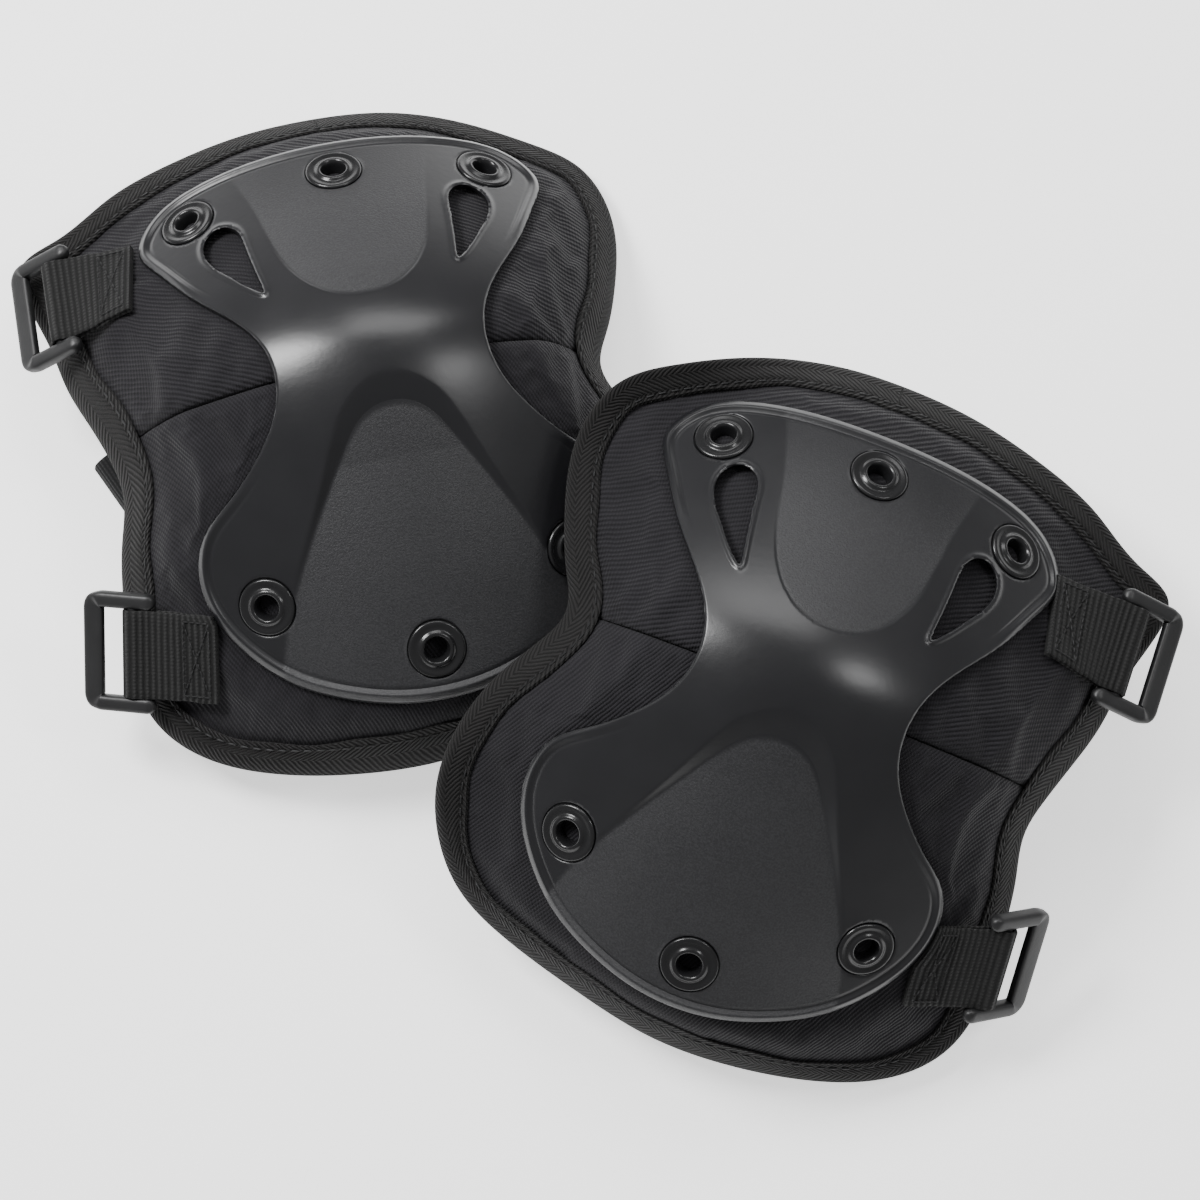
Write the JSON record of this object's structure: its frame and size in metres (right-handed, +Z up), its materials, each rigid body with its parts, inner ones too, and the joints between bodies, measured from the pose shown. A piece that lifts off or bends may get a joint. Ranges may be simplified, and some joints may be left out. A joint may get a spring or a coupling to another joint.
{
  "type": "pair of knee guards",
  "caption": "Hourglass moulded shells riveted to padded, bound fabric wings with webbing-tab buckles and stowed elastic straps; two mirror-image guards, one leaning on the other.",
  "frame": {"origin": "centre of the pair's footprint, on the floor", "axes": "+X to the right of the pair, +Y away from the viewer, +Z up; guard A lies at -X +Y, guard B at +X -Y with its upper edge on guard A"},
  "size_m": [0.3976, 0.3432, 0.11],
  "materials": {
    "shell_plastic": "satin moulded, fine grain on the arched panel",
    "rivet_plastic": "satin",
    "buckle_plastic": "matte moulded acetal",
    "cover_fabric": "coarse ribbed twill",
    "binding_fabric": "herringbone tape with a run of lockstitch",
    "webbing": "ribbed woven webbing",
    "foam": "closed-cell foam",
    "lining_fabric": "smooth knitted lining",
    "elastic": "ribbed elastic",
    "hook_tape": "hook tape"
  },
  "bodies": {
    "guard_a": {"guard_a_shell": "shell_plastic", "guard_a_rivets": "rivet_plastic", "guard_a_rivet_washers": "rivet_plastic", "guard_a_upper_tab": "webbing", "guard_a_lower_tab": "webbing", "guard_a_cover_upper_panel": "cover_fabric", "guard_a_cover_lower_panel": "cover_fabric", "guard_a_foam_core": "foam", "guard_a_lining": "lining_fabric", "guard_a_edge_binding": "binding_fabric", "guard_a_lower_strap": "elastic", "guard_a_lower_hook_patch": "hook_tape"},
    "guard_b": {"guard_b_shell": "shell_plastic", "guard_b_rivets": "rivet_plastic", "guard_b_rivet_washers": "rivet_plastic", "guard_b_upper_tab": "webbing", "guard_b_lower_tab": "webbing", "guard_b_cover_upper_panel": "cover_fabric", "guard_b_cover_lower_panel": "cover_fabric", "guard_b_foam_core": "foam", "guard_b_lining": "lining_fabric", "guard_b_edge_binding": "binding_fabric"},
    "guard_a_upper_buckle": {"guard_a_upper_buckle": "buckle_plastic"},
    "guard_a_lower_buckle": {"guard_a_lower_buckle": "buckle_plastic"},
    "guard_b_upper_buckle": {"guard_b_upper_buckle": "buckle_plastic"},
    "guard_b_lower_buckle": {"guard_b_lower_buckle": "buckle_plastic"},
    "guard_a_upper_strap": {"guard_a_upper_strap": "elastic", "guard_a_upper_hook_patch": "hook_tape"},
    "guard_b_upper_strap": {"guard_b_upper_strap": "elastic", "guard_b_upper_hook_patch": "hook_tape"},
    "guard_b_lower_strap": {"guard_b_lower_strap": "elastic", "guard_b_lower_hook_patch": "hook_tape"}
  },
  "joints": [
    {"name": "guard_b_lift", "type": "slide", "parent": "guard_a", "child": "guard_b", "axis": [0, 0, 1], "range_m": [0, 0.12]},
    {"name": "guard_a_upper_buckle_hinge", "type": "hinge", "parent": "guard_a", "child": "guard_a_upper_buckle", "pos_m": [-0.18102, 0.0904, 0.04174], "axis": [-0.1781, 0.9676, -0.179], "range_deg": [-10, 45]},
    {"name": "guard_a_lower_buckle_hinge", "type": "hinge", "parent": "guard_a", "child": "guard_a_lower_buckle", "pos_m": [-0.15194, -0.03015, 0.03803], "axis": [0.0149, 0.8968, 0.4422], "range_deg": [-15, 45]},
    {"name": "guard_b_upper_buckle_hinge", "type": "hinge", "parent": "guard_b", "child": "guard_b_upper_buckle", "pos_m": [0.17805, -0.03261, 0.05118], "axis": [-0.3215, -0.9468, 0.0167], "range_deg": [-10, 20]},
    {"name": "guard_b_lower_buckle_hinge", "type": "hinge", "parent": "guard_b", "child": "guard_b_lower_buckle", "pos_m": [0.13391, -0.13506, 0.03425], "axis": [-0.2125, -0.7667, -0.6058], "range_deg": [-15, 65]},
    {"name": "guard_a_upper_strap_hinge", "type": "hinge", "parent": "guard_a", "child": "guard_a_upper_strap", "pos_m": [-0.00817, 0.14096, 0.0034], "axis": [0.5791, -0.8152, 0], "range_deg": [0, 40]},
    {"name": "guard_b_upper_strap_hinge", "type": "hinge", "parent": "guard_b", "child": "guard_b_upper_strap", "pos_m": [-0.002, 0.0203, 0.06], "axis": [0.4207, 0.9072, 0], "range_deg": [-10, 5]},
    {"name": "guard_b_lower_strap_hinge", "type": "hinge", "parent": "guard_b", "child": "guard_b_lower_strap", "pos_m": [-0.04235, -0.08538, 0.0276], "axis": [0.3721, 0.9282, 0], "range_deg": [0, 30]}
  ]
}
